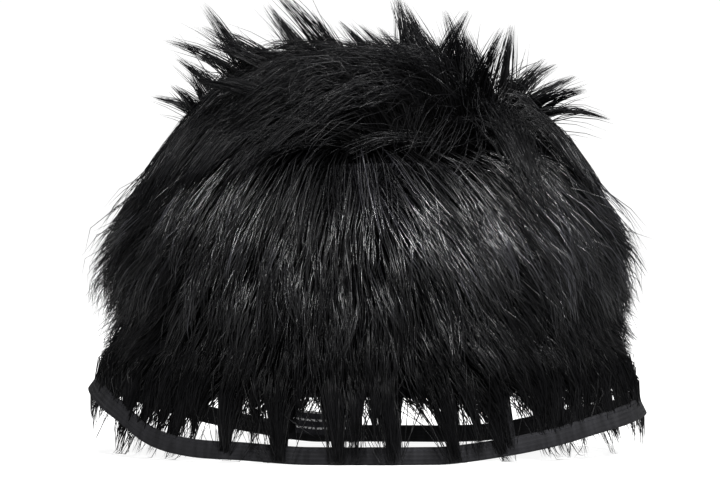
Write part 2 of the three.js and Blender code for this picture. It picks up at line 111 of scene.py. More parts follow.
def brim_curve(turn, samples=25):
    """Radius, height and distance from the edge along the brim's middle, one row for each angle."""
    turn = np.radians(np.asarray(turn, float))
    edge_radius = 1 / np.hypot(np.cos(turn) / EDGE_HALF_WIDTH, np.sin(turn) / EDGE_HALF_DEPTH)
    edge_level = edge_height(np.degrees(turn))
    knee_radius = edge_radius + (SEAM_MIDDLE_RADIUS - edge_radius) * KNEE_SHARE
    knee_level = SEAM_HEIGHT + (edge_level - SEAM_HEIGHT) * KNEE_SHARE
    t = np.linspace(0, 1, samples)[None]
    bend = lambda a, b, c: (1 - t) ** 2 * a[:, None] + 2 * t * (1 - t) * b[:, None] + t**2 * c
    radius = bend(edge_radius, knee_radius, SEAM_MIDDLE_RADIUS)
    height = bend(edge_level, knee_level, SEAM_HEIGHT)
    steps = np.hypot(np.diff(radius, axis=1), np.diff(height, axis=1))
    walked = np.concatenate([np.zeros((len(radius), 1)), np.cumsum(steps, axis=1)], axis=1)
    return radius, height, walked


def around(turn, radius, height):
    """Points at angles in degrees round the upright axis."""
    turn = np.radians(turn)
    return np.stack(np.broadcast_arrays(radius * np.cos(turn), radius * np.sin(turn), height), axis=-1)


def brim_point(turn, distance, offset):
    """Points of the brim, their outward normals and the way down along the cloth."""
    turn, distance, offset = np.broadcast_arrays(*(np.asarray(x, float) for x in (turn, distance, offset)))
    radius, height, walked = brim_curve(turn)
    rows = np.arange(len(turn))
    upper = np.clip((walked < distance[:, None]).sum(axis=1), 1, walked.shape[1] - 1)
    lower = upper - 1
    share = (distance - walked[rows, lower]) / (walked[rows, upper] - walked[rows, lower])
    out = radius[rows, lower] - radius[rows, upper]
    up = height[rows, lower] - height[rows, upper]
    length = np.hypot(out, up)
    out, up = out / length, up / length
    r = radius[rows, lower] + (radius[rows, upper] - radius[rows, lower]) * share - up * offset
    z = height[rows, lower] + (height[rows, upper] - height[rows, lower]) * share + out * offset
    return around(turn, r, z), around(turn, -up, out), around(turn, out, up)


def brim_width(turn):
    return brim_curve(turn)[2][:, -1]


print("brim widths, mm:", brim_width(np.array((0.0, 90.0, 180.0, 270.0))).round(1))


# %% [markdown]
# The pile lies between two surfaces: the cloth that it is rooted in, and the outside of the fur,
# where the tips of the hairs end. That outside is one smooth bell from the top to the tape, so the
# three panels look like one coat of fur. Both are given as a radius at each height.

# %% The inside and the outside of the pile
BELL_HEIGHTS = (78, 90, 107, 120, 134, 147, 160, 168, 176)
BELL_RADII = (134.5, 137, 137, 134, 128.5, 121, 112, 106, 98.5)
LOWEST_RADIUS = 124.0  # the fur hangs no closer to the axis than this at the tape


def wall_radius(height):
    share = (height - SEAM_HEIGHT) / (TOP_SEAM_HEIGHT - SEAM_HEIGHT)
    return CROWN_RADIUS + (CROWN_TOP_RADIUS - CROWN_RADIUS) * np.interp(share, SIDE_SHARES, SIDE_INWARD)


def dome_height(radius):
    return DOME_BASE + np.interp(radius / CROWN_TOP_RADIUS, DOME_REACH, DOME_RISE)


def brim_radius(turn, height):
    """Radius of the middle of the brim's cloth at heights from the seam down to its edge."""
    radius, level, _ = brim_curve(turn, 13)
    height = np.clip(height, level[:, 0], SEAM_HEIGHT)
    rows = np.arange(len(turn))
    upper = np.clip((level < height[:, None]).sum(axis=1), 1, level.shape[1] - 1)
    rise = np.maximum(level[rows, upper] - level[rows, upper - 1], 1e-6)
    share = (height - level[rows, upper - 1]) / rise
    return radius[rows, upper - 1] + share * (radius[rows, upper] - radius[rows, upper - 1])


def inside(turn, height):
    """Radius of the outer face of the cloth."""
    return np.where(height >= SEAM_HEIGHT, wall_radius(height), brim_radius(turn, height) + CLOTH / 2)


def outside(turn, height):
    """Radius of the outside of the fur."""
    tape_top = edge_height(turn) + TAPE_HEIGHT
    lowest = np.maximum(brim_radius(turn, tape_top) + 2.0, LOWEST_RADIUS)
    share = np.clip((BELL_HEIGHTS[0] - height) / (BELL_HEIGHTS[0] - tape_top), 0, 1.15)
    below = BELL_RADII[0] + (lowest - BELL_RADII[0]) * share
    return np.where(height > BELL_HEIGHTS[0], np.interp(height, BELL_HEIGHTS, BELL_RADII), below)


def polar(points):
    return np.degrees(np.arctan2(points[:, 1], points[:, 0])), np.hypot(points[:, 0], points[:, 1])


def aside(turn, other):
    """How far one angle is from another, from -180 to 180 degrees."""
    return (turn - other + 180) % 360 - 180


near_tape = outside(np.array((0.0, 180.0, 270.0)), np.array((30.0, 43.0, 9.0)))
print("outside of the fur near the tape, mm:", near_tape.round(1))


# %% [markdown]
# Long pile is thousands of fine hairs. Blender's hair curves don't leave Blender as a mesh, so each
# strand is modelled. It springs from its root, then sinks along the hat, always a little further
# out, until its tip lies near the outside of the fur. Strands lie in clumps, because fibres cling
# together at their tips, so each one is drawn to the guide of its clump, most of all at its end.

# %% Growing and gathering strands
RINGS = 6
FINE = 2  # stretches that are worked out for each one that is kept
STRETCHES = (RINGS - 1) * FINE
SPRING = 0.2  # share of a strand that keeps the way it leaves its root


def unit(vectors):
    return vectors / np.maximum(np.linalg.norm(vectors, axis=-1, keepdims=True), 1e-9)


def spread(count, start=0):
    """Even, repeatable pairs of shares from 0 to 1."""
    index = np.arange(start + 1, start + count + 1)
    return (index * 0.7548776662) % 1, (index * 0.5698402910) % 1


def hang(turn, radius, height, rise, lean, drift, lengths, depth):
    """Paths of strands that leave their roots at an angle above level and hang along the hat.

    lean and drift turn them sideways, and depth is where they end between the inside and the outside."""
    step = lengths / STRETCHES
    rise, lean = np.radians(rise), np.radians(lean)
    out, up = np.cos(rise), np.sin(rise)
    path = [around(turn, radius, height)]
    for number in range(STRETCHES):
        inner, outer = inside(turn, height), outside(turn, height)
        share = np.clip((radius - inner) / np.maximum(outer - inner, 3), 0, 1.3)
        wanted = share + (depth - share) * min(1, 1.3 / (STRETCHES - number))
        below = height - 1
        slope = radius - inside(turn, below) - share * (outside(turn, below) - inside(turn, below))
        away = np.clip((wanted - share) * (outer - inner), -0.8 * step, 0.85 * step)
        bend = np.clip(slope, -4, 4)
        square = np.maximum(away**2 * bend**2 - (1 + bend**2) * (away**2 - step**2), 0)
        fall = (-away * bend - np.sqrt(square)) / (1 + bend**2)
        next_out, next_up = (away + bend * fall) / step, fall / step
        blend = 0.0 if number < SPRING * STRETCHES else 0.55
        out, up = out + blend * (next_out - out), up + blend * (next_up - up)
        size = np.hypot(out, up)
        out, up = out / size, up / size
        radius = radius + out * step * np.cos(lean)
        height = height + up * step * np.cos(lean)
        turn = turn + np.degrees(np.sin(lean) * step / radius)
        lean = lean + drift * step
        radius = np.maximum(radius, inside(turn, height) + 0.6)
        height = np.maximum(height, FLOOR_GAP)
        if number % FINE == FINE - 1:
            path.append(around(turn, radius, height))
    return np.stack(path, axis=1)


def gather(paths, lengths, guides, guide_lengths, owner, pull, power=1.5):
    """Draws each strand towards the guide of its clump, more towards its tip."""
    share = np.linspace(0, 1, RINGS)[None]
    place = np.clip(share * (lengths / guide_lengths[owner])[:, None] * (RINGS - 1), 0, RINGS - 1)
    lower = np.minimum(place.astype(int), RINGS - 2)
    part = (place - lower)[:, :, None]
    rows = owner[:, None]
    target = guides[rows, lower] * (1 - part) + guides[rows, lower + 1] * part
    weight = (pull[:, None] * share**power)[:, :, None]
    return paths + (target - paths) * weight


def hair_widths(rng, count, middle=0.62):
    return middle * (1 + 0.18 * rng.standard_normal(count)).clip(0.5, 1.5)


def tones(rng, owner):
    """A tone for each strand, partly its own and partly that of its clump."""
    shades = rng.random(owner.max() + 1)
    return 0.46 * rng.random(len(owner)) + 0.54 * shades[owner]


def nearest(points, centres):
    """Index of the centre nearest to each point."""
    owner = np.empty(len(points), int)
    for first in range(0, len(points), 2000):
        part = points[first : first + 2000]
        owner[first : first + 2000] = ((part[:, None] - centres[None]) ** 2).sum(axis=2).argmin(axis=1)
    return owner


print("points of a strand:", RINGS, "from", STRETCHES, "steps")


# %% [markdown]
# Each strand becomes a slim closed sliver with three sides. It swells a little above its root and
# ends in a point, as a fibre does. Its UV map holds the strand's own tone and the share along it.

# %% From paths to a mesh
TAPER = np.array((0.6, 1.0, 0.95, 0.8, 0.52))
SIDES = 3


def placed(name, data):
    piece = bpy.data.objects.new(name, data)
    bpy.context.scene.collection.objects.link(piece)
    return piece


def slivers(name, paths, widths, tones):
    """One object that joins a closed sliver along every path."""
    count, sides, stages = len(paths), SIDES, RINGS - 1
    along = unit(np.gradient(paths, axis=1))
    level = unit(np.cross(paths[:, -1] - paths[:, 0], DOWN))[:, None]
    across = unit(np.cross(along, unit(np.cross(level, along))))
    out = np.cross(across, along)
    roll = (tones * 97.0)[:, None] % (2 * math.pi)
    corners = []
    for side in range(sides):
        angle = (roll + side * 2 * math.pi / sides)[:, :, None]
        reach = (0.5 * widths[:, None] * TAPER[None])[:, :, None]
        sideways = across[:, :stages] * np.cos(angle) + out[:, :stages] * np.sin(angle)
        corners.append(paths[:, :stages] + reach * sideways)
    rings = np.stack(corners, axis=2).reshape(count, stages * sides, 3)
    points = np.concatenate([rings, paths[:, -1:]], axis=1)
    per = stages * sides + 1
    faces = [(0, 2, 1)]
    for stage in range(stages - 1):
        for side in range(sides):
            a, b = stage * sides + side, stage * sides + (side + 1) % sides
            faces += [(a, b, b + sides), (a, b + sides, a + sides)]
    last = (stages - 1) * sides
    faces += [(last + side, last + (side + 1) % sides, per - 1) for side in range(sides)]
    faces = np.array(faces)
    everything = (np.arange(count)[:, None, None] * per + faces[None]).reshape(-1, 3)
    mesh = bpy.data.meshes.new(name)
    mesh.vertices.add(count * per)
    mesh.vertices.foreach_set("co", (points * METRES).astype(np.float32).ravel())
    mesh.loops.add(everything.size)
    mesh.loops.foreach_set("vertex_index", everything.astype(np.int32).ravel())
    mesh.polygons.add(len(everything))
    mesh.polygons.foreach_set("loop_start", np.arange(0, everything.size, 3, dtype=np.int32))
    mesh.update(calc_edges=True)
    mesh.shade_smooth()
    share = np.append(np.repeat(np.arange(stages), sides) / stages, 1.0)
    uv = np.stack([np.repeat(tones, per), np.tile(share, count)], axis=1)[everything.ravel()]
    mesh.uv_layers.new(name="strand").data.foreach_set("uv", uv.astype(np.float32).ravel())
    print(name, count, "strands,", len(everything), "triangles")
    return placed(name, mesh)


def dress(piece, material, node):
    """Gives a piece its finish and its body, and hides the part of the frame that it stands for."""
    piece.data.materials.append(material)
    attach(piece, "root")
    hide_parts(node)


print("sides of a strand:", SIDES, "and its widest share:", TAPER.max())


# %% [markdown]
# Black fibre isn't dull: each hair is a smooth, dark cylinder, so light glides along it in pale
# streaks. The colour stays near black and is painted darker towards the roots, a painted shade deep
# in the pile; each strand's tone shifts both its colour and its gloss a little, so the streaks break
# up as they do on real fur.

# %% Finish of the fur
def new_material(name):
    material = bpy.data.materials.new(name)
    material.use_nodes = True
    nodes = material.node_tree.nodes
    return material, nodes, material.node_tree.links, nodes["Principled BSDF"]


def put(node, values):
    """Sets a node's sockets by their names."""
    for socket, value in values.items():
        node.inputs[socket].default_value = value


def read_map(nodes, name):
    """The output of a node that reads a piece's UV map."""
    node = nodes.new("ShaderNodeUVMap")
    node.uv_map = name
    return node.outputs["UV"]


def ramp(nodes, stops):
    node = nodes.new("ShaderNodeValToRGB")
    elements = node.color_ramp.elements
    while len(elements) < len(stops):
        elements.new(0.5)
    for element, (place, colour) in zip(elements, stops):
        element.position = place
        element.color = (*colour, 1.0)
    return node


# Base colour from root to tip: painted shade makes the roots ten times darker than the tips.
ROOT_SHADE_TO_TIP = (
    (0.0, (0.0004, 0.0004, 0.0004)), (0.5, (0.0015, 0.0015, 0.0017)), (1.0, (0.004, 0.004, 0.0045)),
)
DARK_TO_LIGHT = ((0.0, (0.2, 0.2, 0.21)), (0.75, (1.0, 1.0, 1.03)), (1.0, (5.0, 5.0, 5.3)))


def fur_finish():
    material, nodes, links, shader = new_material("black_fur_pile")
    uv = read_map(nodes, "strand")
    parts = nodes.new("ShaderNodeSeparateXYZ")
    links.new(uv, parts.inputs[0])
    depth = ramp(nodes, ROOT_SHADE_TO_TIP)
    links.new(parts.outputs["Y"], depth.inputs["Fac"])
    tone = ramp(nodes, DARK_TO_LIGHT)
    links.new(parts.outputs["X"], tone.inputs["Fac"])
    mix = nodes.new("ShaderNodeMix")
    mix.data_type = "RGBA"
    mix.blend_type = "MULTIPLY"
    mix.inputs["Factor"].default_value = 1.0
    links.new(depth.outputs["Color"], mix.inputs["A"])
    links.new(tone.outputs["Color"], mix.inputs["B"])
    links.new(mix.outputs["Result"], shader.inputs["Base Color"])
    gloss = nodes.new("ShaderNodeMapRange")
    put(gloss, {"To Min": 0.42, "To Max": 0.26})
    links.new(parts.outputs["X"], gloss.inputs["Value"])
    links.new(gloss.outputs["Result"], shader.inputs["Roughness"])
    shine = nodes.new("ShaderNodeMapRange")
    shine.interpolation_type = "SMOOTHSTEP"
    put(shine, {"From Min": 0.2, "To Min": 0.04, "To Max": 0.42})
    links.new(parts.outputs["X"], shine.inputs["Value"])
    links.new(shine.outputs["Result"], shader.inputs["Specular IOR Level"])
    return material


FUR = fur_finish()
print("finish of the pile:", FUR.name)


# %% [markdown]
# The side's fur springs out from the upright wall and bows over towards the floor. The hairs at the
# top of the panel start upwards, over their own roots, and those at the seam ride up over the fur
# of the brim. At the front the fur is parted: it leans to the left on the left, and more to the
# right on the right, as a hand leaves it. A few locks flare out at the sides.

# %% The side's fur
SIDE_STRANDS, SIDE_CLUMPS = 6700, 380  # in each half
LENGTH_SHARES, SIDE_LENGTHS = (0, 0.25, 0.6, 1), (56, 64, 74, 84)
RISE_SHARES, SIDE_RISES = (0, 0.25, 0.6, 0.85, 1), (26, 10, 8, 30, 55)  # degrees above level
COMBED_TURNS = (0, 45, 75, 90, 110, 150, 180, 195, 215, 235, 255, 266, 278, 298, 330, 350, 360)
COMBED_LEANS = (4, -14, -12, 0, 12, 14, -4, -18, -22, -13, -4, 2, 14, 25, 23, 12, 4)
FLARES = (  # angle, share of the side's height, how much further out
    (190, 0.55, 0.42), (171, 0.7, 0.3), (214, 0.8, 0.2), (350, 0.4, 0.35), (334, 0.75, 0.3), (14, 0.5, 0.3),
)
SHEEN_TURN = 305  # painted sheen: strands round this angle, right of the front, are painted lighter
ROOT_SHARES = (0, 0.5, 1)
SHADED_TONES = (0.55, 0.92, 1.15)  # the lower fur lies in the shade of the upper


def swaths(turn, share):
    """How far the combing leans sideways, in degrees, over the hat."""
    a = np.radians(turn)
    parted = np.interp(np.asarray(turn) % 360, COMBED_TURNS, COMBED_LEANS)
    broad, narrow = 4 * np.sin(3 * a + 1.1), 4 * np.sin(7 * a + 2.4 + 2 * share)
    return parted + broad + narrow + 3 * np.sin(13 * a - 5 * share)


def side_strands(rng, turn, share, loose, stray=0.0):
    """Paths, lengths and roots of strands of the side, rooted at shares of its height."""
    number = len(turn)
    vary = lambda amount: amount * loose * rng.standard_normal(number)
    height = SEAM_HEIGHT + 1.5 + (TOP_SEAM_HEIGHT - SEAM_HEIGHT - 3) * share
    radius = wall_radius(height) - 0.4
    lengths = np.interp(share, LENGTH_SHARES, SIDE_LENGTHS) * (1 + vary(0.09)).clip(0.4, 1.25)
    rise = np.interp(share, RISE_SHARES, SIDE_RISES) + vary(6)
    lean = swaths(turn, share) + vary(6)
    depth = np.clip(0.96 + vary(0.08), 0.6, 1.15) + stray
    for flare_turn, flare_share, more in FLARES:
        off = aside(turn, flare_turn) / 6
        depth = depth + more * np.exp(-(off**2) - ((share - flare_share) / 0.16) ** 2)
    paths = hang(turn, radius, height, rise, lean, vary(0.0025), lengths, depth)
    return paths, lengths, around(turn, radius, height)


def side_fur(name, first_turn, count, clumps, seed):
    rng = np.random.default_rng(seed)
    a, b = spread(clumps)
    guides, guide_lengths, guide_roots = side_strands(rng, first_turn + 180 * a, b, 1.0)
    a, b = spread(count, 5000)
    free = rng.random(count) < 0.06
    stray = np.where(free, 0.3 * rng.random(count), 0)
    paths, lengths, roots = side_strands(rng, first_turn + 180 * a, b, 0.8, stray)
    owner = nearest(roots, guide_roots)
    pull = np.clip(0.62 + 0.18 * rng.standard_normal(count), 0, 0.95)
    pull[free] = 0
    paths = gather(paths, lengths, guides, guide_lengths, owner, pull)
    widths = hair_widths(rng, count)
    # Painted light on the side's tone: a painted sheen lightens the strands right of the front by up to
    # 18%, and painted shade darkens the lower strands.
    off = aside(first_turn + 180 * a, SHEEN_TURN) / 30
    lit = np.interp(b, ROOT_SHARES, SHADED_TONES) * (1 + 0.18 * np.exp(-(off**2)))
    return slivers(name, paths, widths, np.minimum(lit * tones(rng, owner), 1))


for name, first_turn, seed in (("crown_side_fur_front", 180, 11), ("crown_side_fur_back", 0, 12)):
    dress(side_fur(name, first_turn, SIDE_STRANDS, SIDE_CLUMPS, seed), FUR, "crown_side_pile")

# %% [markdown]
# The brim's fur comes out from under the side's and hangs over the edge. Strands that root lower
# are shorter, so most tips end near the tape. A clump hides each tongue of the cloth and falls over
# the tape in a point. The two clumps between one tongue and the next stop short of it, by more or
# less, and daylight shows under them. A few stray hairs cross the gaps.

# %% The brim's fur
def window_top(turn):
    """Where the open windows over the tape end, as a distance from the edge."""
    return TAPE_HEIGHT + WINDOW_HEIGHT * (1 - edge_height(turn) / SEAM_HEIGHT)


BRIM_STRANDS, BRIM_ROWS = 5000, 5  # in each half
LOFT_SHARES, BRIM_LOFTS = (0, 0.4, 1), (46, 36, 24)  # degrees between the roots and the cloth
FRONT_TEETH = (  # turn, and how far past the edge the two clumps between the tongues there reach
    (180, -3, -4), (195, -4, -6), (210, -5, -10), (225, -14, -31), (240, -33, -13),
    (255, -16, -31), (270, -4, -8), (285, -32, -31), (300, -10, -28), (315, -27, -8),
    (330, -3, -6), (345, -2, -3), (360, -3, -3),
)


def fringe_teeth():
    """Angles of the clumps that the fringe hangs in, and how far past the edge each one reaches."""
    rng = np.random.default_rng(20)
    tongues = (np.arange(TONGUES) + 0.5) * 360 / TONGUES
    reach = np.repeat(-15 + 9 * rng.standard_normal(TONGUES), 2).reshape(TONGUES, 2)
    for front_turn, *front_reach in FRONT_TEETH:
        reach[int(front_turn * TONGUES / 360) - 1] = front_reach
    middles = (tongues + 180 / TONGUES)[:, None]
    between = middles + np.array((-1.9, 1.9)) + 0.8 * rng.standard_normal((TONGUES, 2))
    pairs = reach + 2.5 * rng.standard_normal((TONGUES, 2))
    turn = np.concatenate([tongues + 1.4 * rng.standard_normal(TONGUES), between.ravel()]) % 360
    reach = np.concatenate([7 + 2 * rng.standard_normal(TONGUES), pairs.ravel()])
    return turn, reach - np.where((turn > 5) & (turn < 175), 8, 0)


def brim_strands(rng, end_turn, share, loose, overhang, wander=0.0):
    """Paths and lengths of strands of the brim that end at given angles, rooted at shares of its width."""
    number = len(end_turn)
    vary = lambda amount: amount * loose * rng.standard_normal(number)
    lean = 0.85 * swaths(end_turn, 0.0) + vary(4) + wander
    lofted = np.interp(share, LOFT_SHARES, BRIM_LOFTS) + vary(6)
    depth = np.clip(0.9 + vary(0.1), 0.4, 1.1)
    drift = vary(0.002)
    turn = end_turn
    for _ in range(3):
        lowest = window_top(turn) - 1.0
        highest = brim_width(turn) - 1.5
        distance = highest + (lowest - highest) * share
        roots, _, downwards = brim_point(turn, distance, CLOTH / 2 - 0.3)
        slope = np.degrees(np.arctan2(downwards[:, 2], np.hypot(downwards[:, 0], downwards[:, 1])))
        lengths = np.clip(distance * 1.08 + overhang, 6, 82)
        radius = np.hypot(roots[:, 0], roots[:, 1])
        paths = hang(turn, radius, roots[:, 2], slope + lofted, lean, drift, lengths, depth)
        turn = turn + aside(end_turn, polar(paths[:, -1])[0])
    return paths, lengths


def brim_fur(name, first_turn, count, rows, seed):
    rng = np.random.default_rng(seed)
    tooth_turn, tooth_reach = fringe_teeth()
    here = (tooth_turn - first_turn) % 360 < 180
    tooth_turn, tooth_reach = tooth_turn[here], tooth_reach[here]
    teeth = len(tooth_turn)
    row_share = (np.arange(rows) + 0.5) / rows
    reach = np.tile(tooth_reach, rows) + 5 * rng.standard_normal(teeth * rows)
    guide_turn, guide_share = np.tile(tooth_turn, rows), np.repeat(row_share, teeth)
    guides, guide_lengths = brim_strands(rng, guide_turn, guide_share, 0.5, reach + 8)
    a, b = spread(count, 5000)
    turn = first_turn + 180 * a
    tooth = np.abs(aside(turn[:, None], tooth_turn)).argmin(axis=1)
    owner = np.minimum((b * rows).astype(int), rows - 1) * teeth + tooth
    free = rng.random(count) < 0.16
    longer = 10 + 0.8 * edge_height(turn)
    ends = reach[owner] + 4.5 * rng.standard_normal(count) + np.where(free, longer, 0)
    wander = np.where(free, 14 * rng.standard_normal(count), 0)
    paths, lengths = brim_strands(rng, turn, b, 0.8, ends, wander)
    pull = np.clip(0.78 + 0.12 * rng.standard_normal(count), 0, 0.94)
    pull[free] = 0.25
    paths = gather(paths, lengths, guides, guide_lengths, owner, pull, 1.1)
    widths = hair_widths(rng, count, 0.6)
    # The brim's strands are toned down to 0.45, a painted shade under the side's fur.
    return slivers(name, paths, widths, 0.45 * tones(rng, owner))


for name, first_turn, seed in (("brim_fur_front", 180, 21), ("brim_fur_back", 0, 22)):
    dress(brim_fur(name, first_turn, BRIM_STRANDS, BRIM_ROWS, seed), FUR, "brim_pile")

# %% [markdown]
# On the top panel the fur is swept to the left, with tufts that rise out of it. The table says
# where each tuft comes out of the pile, which way it leans and how long it is. The other strands
# lie the way the tufts near them lean, and those that reach the edge of the panel drape over its
# shoulder.

# %% The top's fur
TUFTS = np.array((  # across, back, toward, lean, length
    (-1.0, 0.05, 184, 62, 0.3), (-0.8, 0.34, 170, 46, 0.4), (-0.66, -0.12, 178, 40, 0.74),
    (-0.42, 0.24, 168, 42, 0.76), (-0.16, -0.1, 176, 34, 0.68), (0.08, 0.26, 184, 30, 0.6),
    (0.34, -0.04, 165, 22, 0.56), (0.54, 0.26, 176, 14, 0.58), (0.74, -0.14, 8, 12, 0.52),
    (0.96, 0.1, 4, 50, 0.54), (1.04, -0.26, 350, 74, 0.5), (-0.98, -0.44, 200, 80, 0.52),
    (-0.64, -0.8, 206, 84, 0.54), (-0.16, -1.0, 199, 86, 0.52), (0.34, -0.96, 196, 86, 0.52),
    (0.76, -0.7, 300, 84, 0.52), (-0.42, -0.5, 194, 62, 0.62), (0.04, -0.52, 196, 64, 0.62),
    (0.46, -0.46, 186, 58, 0.6), (-0.88, 0.62, 146, 80, 0.54), (-0.36, 0.94, 114, 84, 0.52),
    (0.22, 0.98, 78, 85, 0.52), (0.74, 0.68, 44, 83, 0.52), (-0.16, 0.6, 140, 60, 0.58),
    (0.4, 0.58, 110, 58, 0.58), (0.5, -0.12, 172, 16, 0.5), (0.66, 0.06, 176, 8, 0.5),
    (0.22, 0.1, 170, 24, 0.55), (-0.3, -0.3, 176, 36, 0.6), (0.86, 0.3, 40, 24, 0.46),
))
TOP_STRANDS, TOP_CLUMPS = 4800, 190
ROOT_REACH = 0.97 * CROWN_TOP_RADIUS
CAP_RADII = (0, 40, 60, 70, 78, 86, 98, 107, 116, 125, 131, 136)
CAP_HEIGHTS = (215, 216, 212, 206, 199, 190, 177, 167, 154, 141, 129, 111)
BED_RADII = (84, 92, 101, 107, 116, 125, 136)  # what the top's fur lies on past its panel
BED_HEIGHTS = (152, 147, 143, 136, 122, 107, 84)


def tuft_ways():
    toward, lean = np.radians(TUFTS[:, 2]), np.radians(TUFTS[:, 3])
    return np.stack([np.cos(toward) * np.sin(lean), np.sin(toward) * np.sin(lean), np.cos(lean)], axis=1)


def tuft_field(places):
    """Way and length of the fur at places on the top, from the tufts nearest to them."""
    centres = CROWN_TOP_RADIUS * TUFTS[:, :2]
    apart = ((places[:, None] - centres[None]) ** 2).sum(axis=2)
    weight = 1 / (apart + 15**2) ** 2
    weight /= weight.sum(axis=1, keepdims=True)
    return unit(weight @ tuft_ways()), weight @ TUFTS[:, 4] * PILE


def lying(radius, share):
    """Height of fur over the top, as a share of the way from what it lies on to its outside."""
    bed = np.interp(radius, BED_RADII, BED_HEIGHTS)
    low = np.where(radius < CROWN_TOP_RADIUS, dome_height(radius), bed)
    return low + share * (np.interp(radius, CAP_RADII, CAP_HEIGHTS) - low)


def sweep(places, toward, turning, lengths, depth):
    """Paths of strands that rise out of the top panel and then lie over it, combed the way toward."""
    step = lengths / STRETCHES
    height = dome_height(np.linalg.norm(places, axis=1)) - 0.3
    path = [np.column_stack([places, height])]
    for number in range(STRETCHES):
        share = depth * (1 - (1 - (number + 1) / STRETCHES) ** 3.2)
        way = np.column_stack([np.cos(toward), np.sin(toward)])
        along = 0.7 * step
        for _ in range(6):
            there = places + way * along[:, None]
            climb = np.clip(lying(np.linalg.norm(there, axis=1), share) - height, -0.95 * step, 0.95 * step)
            along = 0.5 * (along + np.sqrt(step**2 - climb**2))
        places, height = places + way * along[:, None], height + climb
        toward = toward + turning * step
        if number % FINE == FINE - 1:
            path.append(np.column_stack([places, height]))
    return np.stack(path, axis=1)


def top_fur(name, count, clumps, seed):
    rng = np.random.default_rng(seed)

    def batch(number, start, loose):
        a, b = spread(number, start)
        places = around(360 * a, ROOT_REACH * np.sqrt(b), 0)[:, :2]
        way, lengths = tuft_field(places)
        toward = np.arctan2(way[:, 1], way[:, 0]) + 0.2 * loose * rng.standard_normal(number)
        turning = 0.005 * loose * rng.standard_normal(number)
        lengths = (lengths + 32) * np.clip(0.95 + 0.14 * rng.standard_normal(number), 0.4, 1.3)
        depth = np.clip(0.93 + 0.11 * loose * rng.standard_normal(number), 0.3, 1.12)
        return sweep(places, toward, turning, lengths, depth), lengths, places

    guides, guide_lengths, guide_places = batch(clumps, 0, 1.2)
    paths, lengths, places = batch(count, 5000, 0.9)
    owner = nearest(places, guide_places)
    pull = np.clip(0.66 + 0.18 * rng.standard_normal(count), 0, 0.95)
    pull[rng.random(count) < 0.06] = 0
    paths = gather(paths, lengths, guides, guide_lengths, owner, pull)
    widths = hair_widths(rng, count)
    # The top's strands are toned down to 0.58 of the side's, as painted shade.
    return slivers(name, paths, widths, 0.58 * tones(rng, owner))


dress(top_fur("crown_top_fur", TOP_STRANDS, TOP_CLUMPS, 31), FUR, "crown_top_pile")

# %% [markdown]
# A tuft is a bundle of strands that cling together. Each one splits into three thin points that
# bend over and droop a little. Tufts that lean far are held down on the shoulder of the hat, which
# keeps its outline round there.

# %% The tufts of the top
TUFT_POINTS, POINT_STRANDS = 3, 60  # points of a tuft, and strands in each
SHOULDER_LEAN = 70  # tufts that lean further are held down
STEM = 30.0  # how far a strand rises through the pile before it leans fully


def tuft_strands(places, way, lengths, drift, free, droop):
    """Strands that come out of the pile at places and lean the given way, some held on the shoulder."""
    roots = places - way[:, :2] * 20
    reach = np.linalg.norm(roots, axis=1)
    roots = roots * np.minimum(1, ROOT_REACH / np.maximum(reach, 1))[:, None]
    here = np.column_stack([roots, dome_height(np.linalg.norm(roots, axis=1)) - 0.3])
    heading = unit(way + np.array((0, 0, 0.9)))
    step = ((lengths + STEM) / STRETCHES)[:, None]
    path = [here]
    for number in range(STRETCHES):
        there = here + heading * step
        _, radius = polar(there)
        there[:, 2] = np.clip(there[:, 2], lying(radius, 0.1), lying(radius, 1.0) + free)
        heading = unit(unit(there - here) + 0.2 * heading)
        heading = unit(heading + (way * 0.01 + drift + DOWN * droop[:, None]) * step)
        here = there
        if number % FINE == FINE - 1:
            path.append(here)
    return np.stack(path, axis=1), lengths + STEM


def top_tufts(name, parts, each, seed):
    """Tufts that each split into several thin points."""
    rng = np.random.default_rng(seed)
    tuft = np.repeat(np.arange(len(TUFTS)), parts)
    number = len(tuft)
    places = CROWN_TOP_RADIUS * TUFTS[tuft, :2] + 8 * rng.standard_normal((number, 2))
    way = unit(tuft_ways()[tuft] + 0.17 * rng.standard_normal((number, 3)))
    lengths = TUFTS[tuft, 4] * PILE * rng.uniform(0.62, 1.1, number)
    drift = 0.013 * way * (1, 1, 0) + 0.006 * rng.standard_normal((number, 3))
    held = TUFTS[tuft, 3] > SHOULDER_LEAN
    free = np.where(held, 2.0, 200.0)
    droop = 0.004 + 0.014 * np.linalg.norm(way[:, :2], axis=1) ** 3
    guides, guide_lengths = tuft_strands(places, way, lengths, drift, free, droop)
    owner = np.repeat(np.arange(number), each)
    count = len(owner)
    stray = rng.random(count) < 0.09
    paths, lengths = tuft_strands(
        places[owner] + np.where(held[owner], 14, 8)[:, None] * rng.standard_normal((count, 2)),
        unit(way[owner] + np.where(stray, 0.26, 0.08)[:, None] * rng.standard_normal((count, 3))),
        lengths[owner] * np.clip(np.where(stray, 0.8, 0.93) + 0.12 * rng.standard_normal(count), 0.4, 1.15),
        drift[owner] + 0.003 * rng.standard_normal((count, 3)), free[owner], droop[owner],
    )
    pull = np.clip(np.where(held[owner], 0.55, 0.88) + 0.1 * rng.standard_normal(count), 0, 0.98)
    pull[stray] = 0.2
    paths = gather(paths, lengths, guides, guide_lengths, owner, pull, 0.75)
    widths = hair_widths(rng, count)
    # The tufts' strands are toned down to half, as painted shade.
    return slivers(name, paths, widths, 0.5 * tones(rng, owner))


dress(top_tufts("crown_top_tufts", TUFT_POINTS, POINT_STRANDS, 32), FUR, "crown_top_pile")

# %% [markdown]
# Under the fur the panels are a knitted backing, seen from below. Each wall is lofted: a closed
# section is placed at every angle and the sections are joined. The brim's cloth ends in narrow
# tongues, which are lofted down the cloth one by one. UV maps hold centimetres along and across,
# so the weave keeps one size on every piece.

